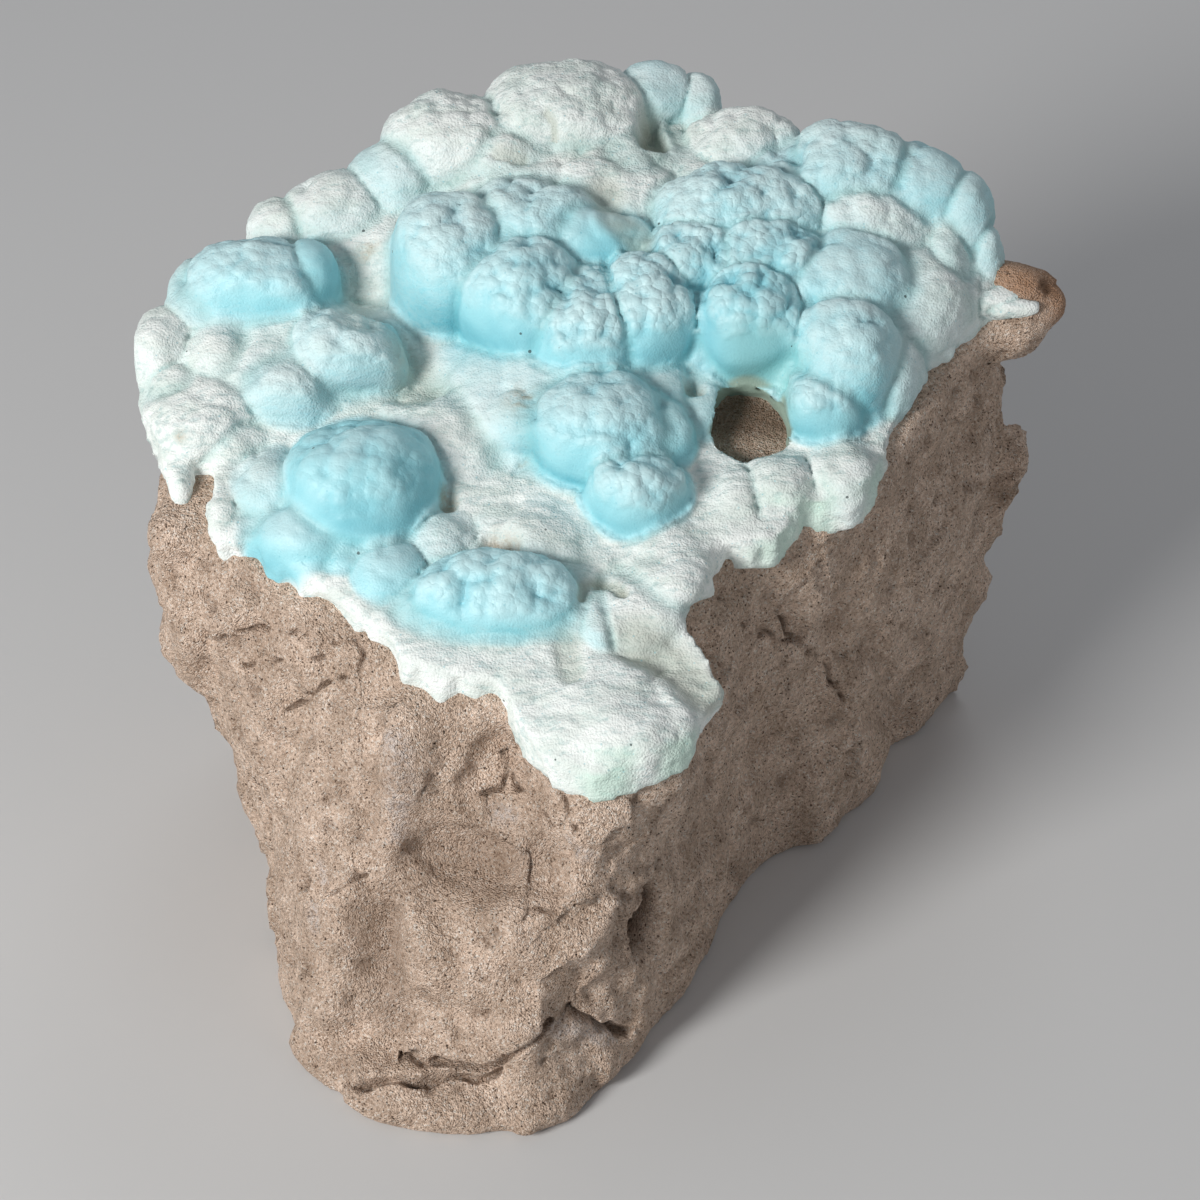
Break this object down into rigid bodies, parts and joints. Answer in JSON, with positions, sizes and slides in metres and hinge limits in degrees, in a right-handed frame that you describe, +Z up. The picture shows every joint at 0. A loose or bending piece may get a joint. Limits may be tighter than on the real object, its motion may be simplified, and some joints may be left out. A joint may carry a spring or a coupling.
{
  "type": "blue aragonite specimen",
  "caption": "Blue aragonite specimen: a crust of rounded, knobbly sky-blue and white lumps on the sloping top of a wedge of sandy brown rock.",
  "frame": {"origin": "Middle of the bounding box in plan, on the flat underside at Z 0", "axes": "+Z up. -Y is the blunt nose of the rock, which the crust slopes down to. +X is the right side seen from the nose."},
  "size_m": [0.1201, 0.1138, 0.0933],
  "materials": {
    "sandy_rock": "rough, granular",
    "aragonite": "waxy to felted"
  },
  "bodies": {
    "root": {"matrix_rock": "sandy_rock", "aragonite_crust": "aragonite"}
  },
  "joints": []
}
